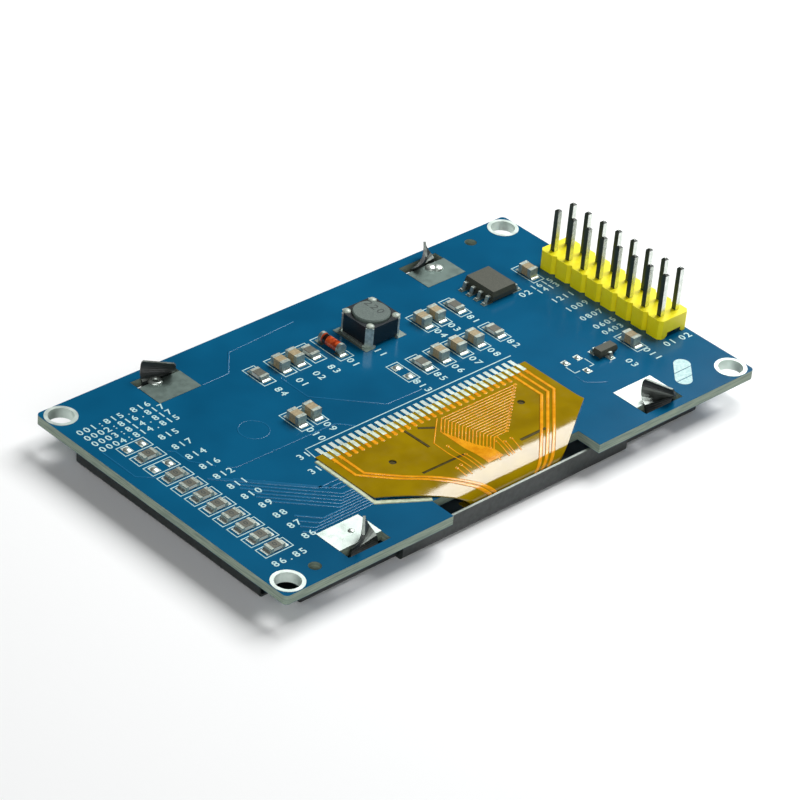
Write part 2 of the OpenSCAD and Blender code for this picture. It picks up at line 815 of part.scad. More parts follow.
// Moulded body with drafted sides: two crossed outlines that share their height
module moulded_body(l, w, z0, z1) {
    draft = 0.14;
    middle = (z0 + z1) / 2;
    intersection() {
        rotate([90, 0, 0])
            translate([0, 0, -w])
                linear_extrude(height = 2 * w)
                    polygon([[-l / 2 + draft, z0], [l / 2 - draft, z0], [l / 2, middle], [l / 2 - draft, z1],
                             [-l / 2 + draft, z1], [-l / 2, middle]]);
        rotate([90, 0, 90])
            translate([0, 0, -l])
                linear_extrude(height = 2 * l)
                    polygon([[-w / 2 + draft, z0], [w / 2 - draft, z0], [w / 2, middle], [w / 2 - draft, z1],
                             [-w / 2 + draft, z1], [-w / 2, middle]]);
    }
}

// Gull-wing lead that leaves a body at X = 0 and stands on Z = 0
module gull_lead(reach, w, h) {
    t = 0.2;
    knee = reach * 0.42;
    translate([0, w / 2, 0])
        rotate([90, 0, 0])
            linear_extrude(height = w)
                polygon([[0, h - t / 2], [knee - 0.1, h - t / 2], [knee + 0.1, 0], [reach, 0], [reach, t],
                         [knee + 0.25, t], [knee + 0.05, h + t / 2], [0, h + t / 2]]);
}

// Leads: distance from the middle to the body's side, place along the side, turn, reach and width
amplifier_l = 4.9;
amplifier_w = 3.9;
amplifier_z = [0.15, 1.5];
function amplifier_leads_at() = [for (turn = [0, 180], i = [-1.5 : 1 : 1.5])
                                    [amplifier_w / 2, i * 1.27, turn, 1.05]];
transistor_l = 2.9;
transistor_w = 1.4;
transistor_z = [0.1, 1.05];
function transistor_leads_at() = [[transistor_w / 2, 0, -90, 0.6], [transistor_w / 2, 0.95, 90, 0.6],
                                  [transistor_w / 2, -0.95, 90, 0.6]];

module leads_of(at, leads, w, z) {
    for (lead = leads)
        translate([at[0], at[1], part_z])
            rotate(lead[2])
                translate([lead[0], lead[1], 0])
                    gull_lead(lead[3], w, (z[0] + z[1]) / 2);
}

module amplifier_body() {
    color("#2b3230")
        on_board()
            translate([amplifier_at[0], amplifier_at[1], part_z])
                moulded_body(amplifier_w, amplifier_l, amplifier_z[0], amplifier_z[1]);
}

module amplifier_leads() {
    color("#b9c0b6")
        on_board()
            leads_of(amplifier_at, amplifier_leads_at(), 0.42, amplifier_z);
}

module transistor_body() {
    color("#2b3230")
        on_board()
            translate([transistor_at[0], transistor_at[1], part_z])
                moulded_body(transistor_l, transistor_w, transistor_z[0], transistor_z[1]);
}

module transistor_leads() {
    color("#b9c0b6")
        on_board()
            leads_of(transistor_at, transistor_leads_at(), 0.42, transistor_z);
}

// Core of a chip: ceramic without its metal ends, thinner than the ends by their skin
module chip_core(h) {
    translate([0, 0, chip_skin])
        block(chip_l - 2 * chip_skin, chip_w - 2 * chip_skin, h - 2 * chip_skin);
}

// Two metal ends of a chip, each a cap over the ceramic
module chip_ends(h, end_l) {
    difference() {
        for (side = [-1, 1])
            translate([side * (chip_l - end_l) / 2, 0, 0]) block(end_l, chip_w, h);
        chip_core(h);
    }
}

module capacitor(i) {
    color("#b58f55")
        on_board()
            at_chip(CAPACITORS[i - 1])
                chip_core(capacitor_h);
}

module capacitor_ends() {
    color("#dde1d8")
        on_board()
            for (spot = CAPACITORS)
                at_chip(spot) chip_ends(capacitor_h, chip_end_l + 0.1);
}

// Alumina chip; between the ends a glazed coat makes its top level with them
module resistor(i) {
    color("#4a4f48")
        on_board()
            at_chip(RESISTORS[i - 1])
                union() {
                    chip_core(resistor_h);
                    translate([0, 0, resistor_h - chip_skin - eps])
                        block(chip_l - 2 * chip_end_l, chip_w - 2 * chip_skin, chip_skin + eps);
                }
}

module resistor_ends() {
    color("#dde1d8")
        on_board()
            for (spot = RESISTORS)
                at_chip(spot) chip_ends(resistor_h, chip_end_l);
}

board();
tinned_pads();
solder_joints();
bezel();
polarizer();
display_glass();
cover_glass();
driver_chip();
foam_tape();
flex_film();
film_contacts();
header_insulator();
header_pins();
header_solder();
inductor_shield();
inductor_drum();
inductor_winding();
inductor_terminals();
diode_glass();
diode_caps();
amplifier_body();
amplifier_leads();
transistor_body();
transistor_leads();
capacitor_ends();
resistor_ends();
for (i = [1 : 11])
    capacitor(i);
for (i = [1 : 14])
    resistor(i);
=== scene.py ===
# %% [markdown]
# # A small display module, finished in Blender
# The real object is a blue circuit board that carries a thin glass display in a folded steel bezel.
# It lies on its face, so the board's parts, its white print and the amber film are what shows.
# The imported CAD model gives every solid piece. This lesson adds the finishes and the layers that are
# too thin for CAD: print, traces, solder and the pattern on the film.

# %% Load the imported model
import math
import bmesh
import bpy
from mathutils import Matrix, Vector


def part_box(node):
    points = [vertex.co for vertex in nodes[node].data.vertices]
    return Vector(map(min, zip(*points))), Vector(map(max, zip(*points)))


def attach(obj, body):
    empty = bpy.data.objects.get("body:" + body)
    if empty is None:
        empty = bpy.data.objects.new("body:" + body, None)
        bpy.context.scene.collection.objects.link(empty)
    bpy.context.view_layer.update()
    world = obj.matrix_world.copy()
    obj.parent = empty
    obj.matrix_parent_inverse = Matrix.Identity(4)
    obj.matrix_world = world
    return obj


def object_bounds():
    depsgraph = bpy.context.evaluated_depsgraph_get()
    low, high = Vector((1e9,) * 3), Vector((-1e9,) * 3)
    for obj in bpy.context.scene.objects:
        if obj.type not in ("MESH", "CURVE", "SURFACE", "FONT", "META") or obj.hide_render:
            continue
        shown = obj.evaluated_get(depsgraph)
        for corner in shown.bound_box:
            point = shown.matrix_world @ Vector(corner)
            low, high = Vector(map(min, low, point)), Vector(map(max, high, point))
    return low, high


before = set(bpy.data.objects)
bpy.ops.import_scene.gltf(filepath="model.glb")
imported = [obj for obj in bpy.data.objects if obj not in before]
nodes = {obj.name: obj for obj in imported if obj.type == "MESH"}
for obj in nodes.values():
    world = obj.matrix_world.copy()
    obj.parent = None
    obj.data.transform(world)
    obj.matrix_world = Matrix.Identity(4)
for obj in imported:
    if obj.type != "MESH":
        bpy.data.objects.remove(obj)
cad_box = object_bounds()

print("loaded", len(nodes), "solid pieces")

# %% [markdown]
# ## Where things are
# All places are counted in millimetres from the front left corner of the board, and heights from its
# top. They could be typed in metres, but a board is drawn in millimetres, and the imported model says
# where that corner is, so a longer or wider board still gets its layers in the right place.

# %% Board places
MM = 0.001
board_lo, board_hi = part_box("board")


def place(x, y, z=0.0):
    """The point x, y millimetres from the board's front left corner and z above its top."""
    return Vector((board_lo.x + x * MM, board_lo.y + y * MM, board_hi.z + z * MM))


def on_board(node):
    """Lowest and highest corner of a CAD piece, in the board's millimetres."""
    corner = place(0, 0)
    return [(c - corner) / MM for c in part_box(node)]


board_l, board_w = on_board("board")[1][:2]
print("board %.1f x %.1f mm, top at %.2f mm" % (board_l, board_w, board_hi.z / MM))

# %% [markdown]
# ## Camera and light
# The object is a product on a white table. One large soft lamp hangs to its upper right: it draws the
# white glare where the film begins to bend, and leaves the left sides in shade. The room behind stays
# dim, because glossy blue mask goes milky when it mirrors a bright wall. Several small lamps would
# light it too, but each would add a hard spot on every solder joint. A wide weak lamp on the left fills
# the shade.

# %% Camera
camera_data = bpy.data.cameras.new("camera")
camera_data.lens = 164.4
camera_data.sensor_width = 36
camera_data.clip_start = 0.01
camera = bpy.data.objects.new("camera", camera_data)
camera.location = (-0.24953, -0.24083, 0.23446)
camera.rotation_euler = [math.radians(a) for a in (56.141, -4.528, -42.934)]
bpy.context.scene.collection.objects.link(camera)
bpy.context.scene.camera = camera
bpy.context.scene.view_settings.view_transform = "Standard"


# %% Soft lamps
def soft_lamp(name, spot, aim, size, power):
    """A flat lamp of a size in metres that hangs at spot and points at aim."""
    data = bpy.data.lights.new(name, "AREA")
    data.shape = "RECTANGLE"
    data.size, data.size_y = size
    data.energy = power
    lamp = bpy.data.objects.new(name, data)
    lamp.location = spot
    lamp.rotation_euler = (Vector(aim) - Vector(spot)).to_track_quat("-Z", "Y").to_euler()
    bpy.context.scene.collection.objects.link(lamp)


soft_lamp("key_lamp", (0.22, 0.03, 0.29), (0, 0, 0), (0.24, 0.24), 1.9)
soft_lamp("fill_lamp", (-0.33, -0.29, 0.24), (0, 0, 0), (0.5, 0.3), 1.25)
world = bpy.data.worlds.new("room")
world.use_nodes = True
background = world.node_tree.nodes["Background"]
background.inputs["Color"].default_value = (1, 1, 1, 1)
background.inputs["Strength"].default_value = 0.03
bpy.context.scene.world = world
print("camera with", camera_data.lens, "mm lens, lamps and room ready")

# %% [markdown]
# ## Helpers for finishes
# Every finish is a Principled shader with a few texture nodes. A colour is written as it would be read
# from a colour chart, and one function turns it into the linear values that shaders use. Patterns read
# Object coordinates, which are metres here, so a grain of 0.2 mm is a scale of 1 / 0.0002.

# %% Colour, node and finish helpers


def linear(chart_colour):
    """Turns an sRGB hex colour into linear red, green, blue and alpha."""
    parts = [int(chart_colour[i:i + 2], 16) / 255 for i in (1, 3, 5)]
    return [p / 12.92 if p <= 0.04045 else ((p + 0.055) / 1.055) ** 2.4 for p in parts] + [1.0]


def add(tree, kind, inputs={}, **settings):
    """Adds a node: settings are its own properties, inputs are values or other nodes' outputs."""
    node = tree.nodes.new(kind)
    for name, value in settings.items():
        setattr(node, name, value)
    for name, value in inputs.items():
        if isinstance(value, bpy.types.NodeSocket):
            tree.links.new(value, node.inputs[name])
        else:
            node.inputs[name].default_value = value
    return node


class Finish:
    """A material with its shader, its coordinates and the constant values of its sockets."""

    def __init__(self, name, **sockets):
        self.material = bpy.data.materials.new(name)
        self.material.use_nodes = True
        self.tree = self.material.node_tree
        self.shader = self.tree.nodes["Principled BSDF"]
        coordinates = add(self.tree, "ShaderNodeTexCoord").outputs
        self.where, self.normal = coordinates["Object"], coordinates["Normal"]
        for socket, value in sockets.items():
            self.shader.inputs[socket.replace("_", " ")].default_value = value

    def link(self, socket, output):
        """Feeds one of the shader's sockets from a node."""
        self.tree.links.new(output, self.shader.inputs[socket])

    def cloud(self, size, detail=3.0, stretch=(1, 1, 1)):
        """Soft random patches of a size in millimetres, from about 0.3 to 0.7."""
        scaled = add(self.tree, "ShaderNodeMapping", {"Vector": self.where, "Scale": stretch})
        return add(self.tree, "ShaderNodeTexNoise",
                   {"Vector": scaled.outputs[0], "Scale": 1 / (size * MM), "Detail": detail}).outputs[0]

    def span(self, value, low, high, start=0.35, end=0.65):
        """Stretches a value that runs from start to end over low to high."""
        ranges = {"Value": value, "From Min": start, "From Max": end, "To Min": low, "To Max": high}
        return add(self.tree, "ShaderNodeMapRange", ranges).outputs[0]

    def blend(self, share, first, second):
        """Mixes two colours, each a chart colour or an output."""
        first, second = [linear(c) if isinstance(c, str) else c for c in (first, second)]
        return add(self.tree, "ShaderNodeMix", {0: share, 6: first, 7: second}, data_type="RGBA").outputs[2]

    def relief(self, height, depth):
        """Makes a pattern stand out of the surface by a depth in millimetres."""
        old = self.shader.inputs["Normal"].links
        inputs = {"Height": height, "Distance": depth * MM, "Strength": 1.0}
        if old:
            inputs["Normal"] = old[0].from_socket
        self.link("Normal", add(self.tree, "ShaderNodeBump", inputs).outputs[0])

    def waves(self, length, way, distortion=0.0):
        """Even waves along one axis, from 0 to 1 and back in a length in millimetres."""
        return add(self.tree, "ShaderNodeTexWave",
                   {"Vector": self.where, "Scale": 0.1 * math.pi / (length * MM), "Distortion": distortion},
                   bands_direction=way).outputs["Fac"]

    def math(self, operation, first, second=0.0):
        """One sum or comparison of two values."""
        return add(self.tree, "ShaderNodeMath", {0: first, 1: second}, operation=operation).outputs[0]

    def axis(self, name):
        """Height or place along one axis, in the object's metres."""
        return add(self.tree, "ShaderNodeSeparateXYZ", {"Vector": self.where}).outputs[name]

    def facing(self, name):
        """How much the surface looks along one axis, from -1 to 1."""
        return add(self.tree, "ShaderNodeSeparateXYZ", {"Vector": self.normal}).outputs[name]

    def aside(self, name, middle):
        """Distance from a middle along one axis, to both sides, in metres."""
        return self.math("ABSOLUTE", self.math("SUBTRACT", self.axis(name), middle))

    def give(self, *names):
        """Puts this finish on CAD pieces, in all their slots."""
        for name in names:
            for entry in nodes[name].material_slots:
                entry.material = self.material


print("helpers ready")

# %% [markdown]
# ## Floor
# A plain pale table, which belongs to the scene and not to the object.

# %% Pale floor
paper = Finish("matt_white_paper", Base_Color=linear("#F4F5F5"), Roughness=0.9)
paper.relief(paper.cloud(1.5), 0.01)
bm = bmesh.new()
bmesh.ops.create_grid(bm, x_segments=4, y_segments=4, size=1.5)
floor_mesh = bpy.data.meshes.new("floor")
bm.to_mesh(floor_mesh)
bm.free()
floor = bpy.data.objects.new("floor", floor_mesh)
floor.data.transform(Matrix.Translation((0, 0, cad_box[0][2] - 0.1 * MM)))
floor.data.materials.append(paper.material)
bpy.context.scene.collection.objects.link(floor)
print("floor at %.2f mm" % (cad_box[0][2] / MM - 0.1))

# %% [markdown]
# ## Solder mask over glass fibre laminate
# The board is glass cloth in resin, covered with a liquid ink that is exposed and baked: a thin glossy
# blue coat. Its sides and holes are cut afterwards and show the pale laminate. Separate pieces for the
# coat and the core would also work, but one material that asks how high the point lies is enough,
# because the coat is only on the two faces.

# %% Board finish
mask = Finish("blue_solder_mask", IOR=1.5, Specular_IOR_Level=0.36)
middle = (board_lo.z + board_hi.z) / 2
coated = mask.math("GREATER_THAN", mask.aside("Z", middle), board_hi.z - middle - 0.03 * MM)
coat = mask.blend(mask.span(mask.cloud(9.0, 2.0), 0, 1), "#024E71", "#05577C")
fibres = mask.blend(mask.span(mask.cloud(0.3, 2.0, (0.12, 0.12, 2.5)), 0, 1), "#74857A", "#93A190")
mask.link("Base Color", mask.blend(coated, fibres, coat))
mask.link("Roughness", mask.span(coated, 0.75, 0.17, 0, 1))
cloth = mask.math("MULTIPLY", *[mask.waves(0.6283, way, 0.4) for way in "XY"])
mask.relief(cloth, 0.0015)
mask.relief(mask.cloud(2.5), 0.004)
mask.give("board")
print("board finished:", mask.material.name)

# %% [markdown]
# ## Tin and solder
# Copper that the mask leaves open is dipped in molten solder and blown level with hot air. It ends up
# bright but never flat, like a still puddle. A joint is the same alloy, frozen in a small fillet, and
# shines more. The tin's skin of oxide scatters a part of the light, so these finishes are not wholly
# metallic. One function makes most of them, because they differ only in tone, patches and roughness.
# The tin's colour is painted darker towards the back, on the pads between the board's ends: painted shade. A
# header pin's two faces that look along X are painted dark as shade and are rougher, and the two that look
# along Y keep the bright tin, so its finish asks which way a face looks.

# %% Tin and solder finishes
def metal(name, first, second, size, low, high, share=0.8):
    """A metal with soft patches of two colours and of a low and a high roughness."""
    made = Finish(name, Metallic=share)
    made.link("Base Color", made.blend(made.span(made.cloud(size), 0, 1), first, second))
    made.link("Roughness", made.span(made.cloud(size * 0.7), low, high))
    return made


tin = metal("hot_air_levelled_tin", "#C6D5CD", "#DDE8E1", 1.5, 0.38, 0.5, 0.7)
# Painted shade: the tin's colour darkens towards the back, on the pads between the board's ends.
painted_shade_to_back = tin.span(tin.axis("Y"), 0, 1, board_lo.y + 8 * MM, board_lo.y + 34 * MM)
bright = tin.shader.inputs["Base Color"].links[0].from_socket
painted_shade_between_ends = tin.math("LESS_THAN", tin.aside("X", (board_lo.x + board_hi.x) / 2), 31 * MM)
tin.link("Base Color", tin.blend(tin.math("MULTIPLY", painted_shade_to_back, painted_shade_between_ends), bright, "#6A7A74"))
tin.relief(tin.cloud(0.15, 1.0, (0.2, 4, 1)), 0.0015)
tin.relief(tin.cloud(2.5, 1.0), 0.02)
tin.give("tinned_pads")
fingers = metal("tinned_film_contacts", "#A9B8A6", "#CBD6C4", 0.6, 0.36, 0.5, 0.6)
fingers.relief(fingers.cloud(0.8, 1.0), 0.01)
fingers.give("film_contacts")
solder = metal("bright_solder", "#B4C0B8", "#DCE5DE", 0.4, 0.28, 0.42, 0.8)
solder.relief(solder.cloud(0.5, 1.0), 0.01)
solder.give("solder_joints", "header_solder")
ends = metal("plated_chip_ends", "#A7B2A8", "#C3CCC2", 0.3, 0.3, 0.45, 0.7)
ends.relief(ends.cloud(0.2), 0.004)
ends.give("capacitor_ends", "resistor_ends")
leads = metal("tinned_lead_frame", "#A0ACA4", "#C6D0C8", 0.4, 0.3, 0.45)
leads.relief(leads.cloud(0.3, 2.0, (1, 1, 4)), 0.004)
leads.give("amplifier_leads", "transistor_leads", "diode_caps", "inductor_terminals")
pins = Finish("tin_plated_pins", Metallic=0.9)
# Painted shade: the faces that look along X are painted dark, and they are also rougher.
painted_shade_sides = pins.math("GREATER_THAN", pins.math("ABSOLUTE", pins.facing("X")), 0.7)
bright_tin_faces = pins.blend(pins.span(pins.cloud(0.5), 0, 1), "#C9D0CA", "#E6EBE6")
pins.link("Base Color", pins.blend(painted_shade_sides, bright_tin_faces, "#50584F"))
pins.link("Roughness", pins.span(painted_shade_sides, 0.26, 0.5, 0, 1))
pins.relief(pins.cloud(0.12, 2.0, (4, 4, 0.2)), 0.002)
pins.give("header_pins")
print("metal finishes:", [f.material.name for f in (tin, fingers, solder, ends, leads, pins)])

# %% [markdown]
# ## Bezel
# Sheet steel, painted black before it was cut and folded, so only its cut edges are bare metal. Those
# edges face up here, all round the top of the walls and the tabs. The shader mixes paint and metal by
# asking which way the surface looks: up, and only above the window's sheet, means a cut edge.

# %% Bezel finish
paint = Finish("black_painted_steel", IOR=1.5)
sheet_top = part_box("bezel")[0].z + 1.0 * MM
upward = paint.math("GREATER_THAN", paint.facing("Z"), 0.7)
bare = paint.math("MULTIPLY", upward, paint.math("GREATER_THAN", paint.axis("Z"), sheet_top))
coat = paint.blend(paint.span(paint.cloud(0.8), 0, 1), "#171E1D", "#212928")
paint.link("Base Color", paint.blend(bare, coat, "#7F8681"))
paint.link("Metallic", bare)
paint.link("Roughness", paint.span(paint.cloud(0.5), 0.34, 0.48))
paint.relief(paint.cloud(0.25, 1.0), 0.004)
paint.give("bezel")
print("bezel finished:", paint.material.name)

# %% [markdown]
# ## Amber film
# The film is polyimide, a tough plastic that is naturally amber, with etched copper between two sheets.
# Over the dark board it looks olive gold. It could be made clear, with copper inside, but the real one
# lets so little through that a glossy opaque shader with slow changes of colour looks the same.

# %% Film finishes
film = Finish("amber_polyimide_film", IOR=1.55)
film.link("Base Color", film.blend(film.span(film.cloud(4.0, 2.0), 0, 1), "#876E00", "#967C00"))
film.link("Roughness", film.span(film.cloud(1.2), 0.1, 0.16))
film.relief(film.cloud(3.0, 1.0), 0.03)
film.relief(film.cloud(0.15), 0.0008)
film.give("flex_film")
gilt = Finish("copper_under_amber_film", Roughness=0.2, IOR=1.5)
gilt.link("Base Color", gilt.blend(gilt.span(gilt.cloud(0.8), 0, 1), "#D98C06", "#EBA214"))
gilt.relief(gilt.cloud(0.4), 0.002)
# This dark finish also serves as painted shade in the film's two holes.
under = Finish("copper_on_the_film_underside_and_hole_shade", Roughness=0.5, IOR=1.4, Specular_IOR_Level=0.2)
under.link("Base Color", under.blend(under.span(under.cloud(0.8), 0, 1), "#3B3204", "#493E06"))
under.relief(under.cloud(0.4), 0.002)
print("film finishes:", [f.material.name for f in (film, gilt, under)])

# %% [markdown]
# ## Header
# The insulator is yellow nylon, moulded with a fine spark-eroded texture. A little light goes in and comes
# out again, which softens its edges, so it gets some subsurface scattering. The low recess at each end is
# painted dark brown: painted shade.

# %% Header finish
nylon = Finish("yellow_moulded_nylon", IOR=1.53, Subsurface_Weight=0.15,
               Subsurface_Radius=(1.0, 0.8, 0.2), Subsurface_Scale=0.6 * MM)
housing_lo, housing_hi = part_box("header_insulator")
# Painted shade: the low recess at each end is painted dark brown.
low = nylon.math("LESS_THAN", nylon.axis("Z"), housing_lo.z + 0.7 * MM)
between = nylon.math("LESS_THAN", nylon.aside("X", (housing_lo.x + housing_hi.x) / 2), 1.12 * MM)
painted_shade_recess = nylon.math("MULTIPLY", low, between)
nylon_tone = nylon.blend(nylon.span(nylon.cloud(2.0), 0, 1), "#F8E800", "#FFF108")
nylon.link("Base Color", nylon.blend(painted_shade_recess, nylon_tone, "#1E1804"))
nylon.link("Roughness", nylon.span(nylon.cloud(0.2), 0.35, 0.5))
nylon.relief(nylon.cloud(0.08), 0.004)
nylon.give("header_insulator")
print("header finished:", nylon.material.name)

# %% [markdown]
# ## Ferrite, wire and glass
# The inductor is two pieces of pressed ferrite powder: a black shield and a ground grey drum, with
# enamelled copper wire between its flanges. The diode is orange glass with a dark painted band.

# %% Inductor and diode finishes
shield = Finish("black_pressed_ferrite", Roughness=0.36, IOR=1.5)
shield.link("Base Color", shield.blend(shield.span(shield.cloud(0.12), 0, 1), "#0C1418", "#172026"))
shield.relief(shield.cloud(0.1), 0.008)
shield.give("inductor_shield")
drum = Finish("ground_grey_ferrite", Roughness=0.55, IOR=1.5)
drum.link("Base Color", drum.blend(drum.span(drum.cloud(0.12), 0, 1), "#4A5853", "#5E6C66"))
drum.relief(drum.cloud(0.09), 0.008)
drum.give("inductor_drum")
wire = Finish("enamelled_copper_wire", Roughness=0.3, Metallic=0.7, Base_Color=linear("#9A4A1E"))
wire.relief(wire.waves(0.377, "Z"), 0.05)
wire.give("inductor_winding")
glass = Finish("orange_diode_glass", Roughness=0.08, IOR=1.52, Coat_Weight=0.6, Coat_Roughness=0.03)
glass_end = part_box("diode_glass")[1].y
band = glass.math("MULTIPLY", glass.math("GREATER_THAN", glass.axis("Y"), glass_end - 1.1 * MM),
                  glass.math("LESS_THAN", glass.axis("Y"), glass_end - 0.55 * MM))
ember = glass.blend(glass.span(glass.cloud(0.5), 0, 1), "#8C2C10", "#D4592A")
glass.link("Base Color", glass.blend(band, ember, "#241512"))
glass.give("diode_glass")
print("inductor and diode finished")

# %% [markdown]
# ## Moulded and fired chips
# The two packages are dark epoxy, dull from the mould's fine sand-blasting. A capacitor is tan fired
# ceramic. A resistor is a white alumina slab whose top only is printed with a dark glaze, so its
# finish again changes with height.

# %% Chip finishes
epoxy = Finish("dark_moulded_epoxy", Roughness=0.6, IOR=1.5)
epoxy.link("Base Color", epoxy.blend(epoxy.span(epoxy.cloud(0.1), 0, 1), "#33372C", "#47493C"))
epoxy.relief(epoxy.cloud(0.07), 0.008)
epoxy.give("amplifier_body", "transistor_body")
tan = Finish("tan_fired_ceramic", Roughness=0.38, IOR=1.6)
tan.link("Base Color", tan.blend(tan.span(tan.cloud(0.25), 0, 1), "#8F8060", "#AA9A76"))
tan.relief(tan.cloud(0.15), 0.005)
capacitors = sorted(n for n in nodes if n.startswith("capacitor_") and n != "capacitor_ends")
tan.give(*capacitors)
resistors = sorted((n for n in nodes if n.startswith("resistor_") and n != "resistor_ends"),
                   key=lambda n: int(n.split("_")[1]))
top_of_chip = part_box(resistors[0])[1].z
glaze = Finish("glazed_alumina", Roughness=0.35, IOR=1.6)
glazed = glaze.math("GREATER_THAN", glaze.axis("Z"), top_of_chip - 0.06 * MM)
dark = glaze.blend(glaze.span(glaze.cloud(0.2), 0, 1), "#55564C", "#66675C")
glaze.link("Base Color", glaze.blend(glazed, "#D8DCD2", dark))
glaze.relief(glaze.cloud(0.12), 0.004)
glaze.give(*resistors)
print(len(capacitors), "capacitors and", len(resistors), "resistors finished")

# %% [markdown]
# ## Display
# Behind the bezel's window lies a dark polarizing film, then two sheets of glass held by white foam
# tape. From the face only the polarizer shows, with the fine grid of the lit area faintly in it.

# %% Display finishes
polar = Finish("dark_polarizing_film", Roughness=0.12, IOR=1.5, Coat_Weight=0.4, Coat_Roughness=0.05)
grid = polar.math("MULTIPLY", *[polar.waves(0.86, way) for way in "XY"])
centre = sum(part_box("polarizer"), Vector()) / 2
lit = polar.math("MULTIPLY", polar.math("LESS_THAN", polar.aside("X", centre.x), 27.5 * MM),
                 polar.math("LESS_THAN", polar.aside("Y", centre.y), 13.75 * MM))
cells = polar.blend(grid, "#0C0E12", "#12151A")
polar.link("Base Color", polar.blend(lit, "#08090B", cells))
polar.give("polarizer")
panel = Finish("display_glass_with_dark_layers", Roughness=0.08, IOR=1.52)
panel.link("Base Color", panel.blend(panel.span(panel.cloud(6.0), 0, 1), "#3D4A50", "#46545A"))
panel.give("display_glass", "cover_glass")
silicon = Finish("polished_silicon", Roughness=0.18, IOR=1.5, Metallic=0.4)
silicon.link("Base Color", silicon.blend(silicon.span(silicon.cloud(0.3), 0, 1), "#2B2F34", "#3A3F45"))
silicon.give("driver_chip")
foam = Finish("white_foam_tape", Roughness=0.9)
foam.link("Base Color", foam.blend(foam.span(foam.cloud(0.3), 0, 1), "#CFCFC8", "#DEDED8"))
foam.relief(foam.cloud(0.2), 0.02)
foam.give("foam_tape")
print("display finished")

# %% [markdown]
# ## Helpers for thin layers
# Print and traces are layers of ink or copper a few hundredths of a millimetre high. Each is drawn as
# a curve with a round bevel, made a mesh, and then pressed flat. A flat strip would also do, but the
# pressed tube has soft shoulders, and those catch the light as real ink and covered copper do.

# %% Curve, mesh and text helpers


def piece(name, bm, finish):
    """Turns a bmesh into a piece that rides on the module, with a finish and a material slot."""
    mesh = bpy.data.meshes.new(name)
    bm.to_mesh(mesh)
    bm.free()
    mesh.materials.append(finish.material)
    made = bpy.data.objects.new(name, mesh)
    bpy.context.scene.collection.objects.link(made)
    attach(made, "root")
    print("made", name, "with", len(mesh.polygons), "faces")


def pour(bm, source):
    """Adds a curve or text object's shape to a bmesh and removes the object."""
    bpy.context.scene.collection.objects.link(source)
    shown = source.evaluated_get(bpy.context.evaluated_depsgraph_get())
    mesh = bpy.data.meshes.new_from_object(shown)
    before = len(bm.verts)
    bm.from_mesh(mesh)
    bpy.data.objects.remove(source)
    bpy.data.meshes.remove(mesh)
    bm.verts.ensure_lookup_table()
    return bm.verts[before:]


def lines(bm, paths, width, height, closed=False):
    """Draws paths on the board's top, width wide and height high, and returns their vertices."""
    curve = bpy.data.curves.new("lines", "CURVE")
    curve.dimensions = "3D"
    curve.bevel_depth = width / 2
    curve.bevel_resolution = 1
    curve.use_fill_caps = True
    for path in paths:
        spline = curve.splines.new("POLY")
        spline.points.add(len(path) - 1)
        spline.use_cyclic_u = closed
        for point, (x, y) in zip(spline.points, path):
            point.co = (x, y, 0, 1)
    drawn = pour(bm, bpy.data.objects.new("lines", curve))
    bmesh.ops.scale(bm, vec=(1, 1, 2 * height / width), verts=drawn)
    return drawn


def number(bm, text, x, y, height=0.9, turn=0, thick=0.03):
    """Writes a number with its middle at x, y and all digits equally far apart, turned by degrees."""
    pitch, font_size, widening, boldness = 1.09 * height, height / 0.66, 1.12, 0.015 * height
    for k, digit in enumerate(text):
        shape = bpy.data.curves.new("number", "FONT")
        shape.body = digit
        shape.align_x, shape.align_y = "CENTER", "CENTER"
        shape.size, shape.offset = font_size, boldness
        shape.resolution_u = 2
        shape.extrude = thick / 2
        drawn = pour(bm, bpy.data.objects.new("number", shape))
        shift = (k - (len(text) - 1) / 2) * pitch
        spot = (Matrix.Translation((x, y, 0)) @ Matrix.Rotation(math.radians(turn), 4, "Z")
                @ Matrix.Translation((shift, 0, 0)) @ Matrix.Diagonal((widening, 1, 1, 1)))
        bmesh.ops.transform(bm, verts=drawn, matrix=spot)


def dots(bm, spots, radius, height, level=0.0):
    """Low round bumps: spheres pressed flat, cut off at a level and closed there."""
    for x, y in spots:
        made = bmesh.ops.create_uvsphere(bm, u_segments=20, v_segments=10, radius=radius)["verts"]
        pressed = Matrix.Translation((x, y, level)) @ Matrix.Diagonal((1, 1, height / radius, 1))
        bmesh.ops.transform(bm, verts=made, matrix=pressed)
        edges = {e for v in made for e in v.link_edges}
        faces = {f for v in made for f in v.link_faces}
        cut = bmesh.ops.bisect_plane(bm, geom=[*made, *edges, *faces], dist=0.0001, plane_co=(0, 0, level),
                                     plane_no=(0, 0, -1), clear_outer=True)["geom_cut"]
        bmesh.ops.holes_fill(bm, edges=[e for e in cut if isinstance(e, bmesh.types.BMEdge)])


def to_board(bm, level=0.0):
    """Moves a drawing in the board's millimetres to its place on the board's top."""
    move = Matrix.Translation(place(0, 0, level)) @ Matrix.Scale(MM, 4)
    bmesh.ops.transform(bm, verts=bm.verts, matrix=move)


def frame_path(x, y, l, w):
    """Four corners of a rectangle centred on x, y."""
    return [(x + i * l / 2, y + j * w / 2) for i, j in ((-1, -1), (1, -1), (1, 1), (-1, 1))]


def ring_path(x, y, radius, points):
    """Points evenly round a circle centred on x, y."""
    turns = [math.tau * k / points for k in range(points)]
    return [(x + radius * math.cos(a), y + radius * math.sin(a)) for a in turns]


print("layer helpers ready")

# %% [markdown]
# ## Traces under the mask
# The copper tracks run under the blue ink and lift it by a few hundredths of a millimetre. They show
# as slightly lighter ridges. They are drawn in one go and get a mask finish of their own, because
# copper below makes the ink look lighter. Twelve wide ones run from the film to the front left: three
# turn once, and nine end in a slope, five long and four short. The others are thin and single.

